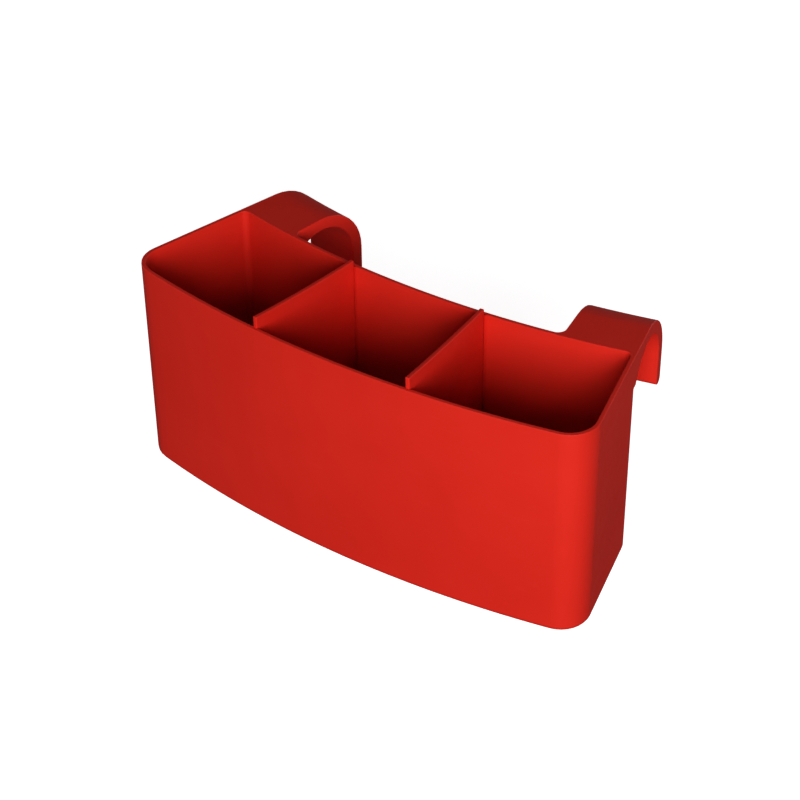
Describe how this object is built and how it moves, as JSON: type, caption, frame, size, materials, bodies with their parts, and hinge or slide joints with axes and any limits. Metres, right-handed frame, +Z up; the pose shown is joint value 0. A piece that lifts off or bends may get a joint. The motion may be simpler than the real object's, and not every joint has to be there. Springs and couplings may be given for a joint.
{
  "type": "cleaning caddy",
  "caption": "Curved open-top plastic caddy that hooks over a rail or rim, divided into upright bays by lift-out panels.",
  "frame": {"origin": "middle of the flat base, on the mid-plane between the end walls", "axes": "+X along the tub, +Y towards the hooks, +Z up"},
  "size_m": [0.3378, 0.1746, 0.1594],
  "materials": {
    "tub": "satin",
    "divider": "satin"
  },
  "bodies": {
    "caddy": {"tub": "tub"},
    "left_divider": {"divider_left": "divider"},
    "right_divider": {"divider_right": "divider"}
  },
  "joints": [
    {"name": "left_divider_lift", "type": "slide", "parent": "caddy", "child": "left_divider", "axis": [0, 0, 1], "range_m": [0, 0.155]},
    {"name": "right_divider_lift", "type": "slide", "parent": "caddy", "child": "right_divider", "axis": [0, 0, 1], "range_m": [0, 0.155]}
  ]
}
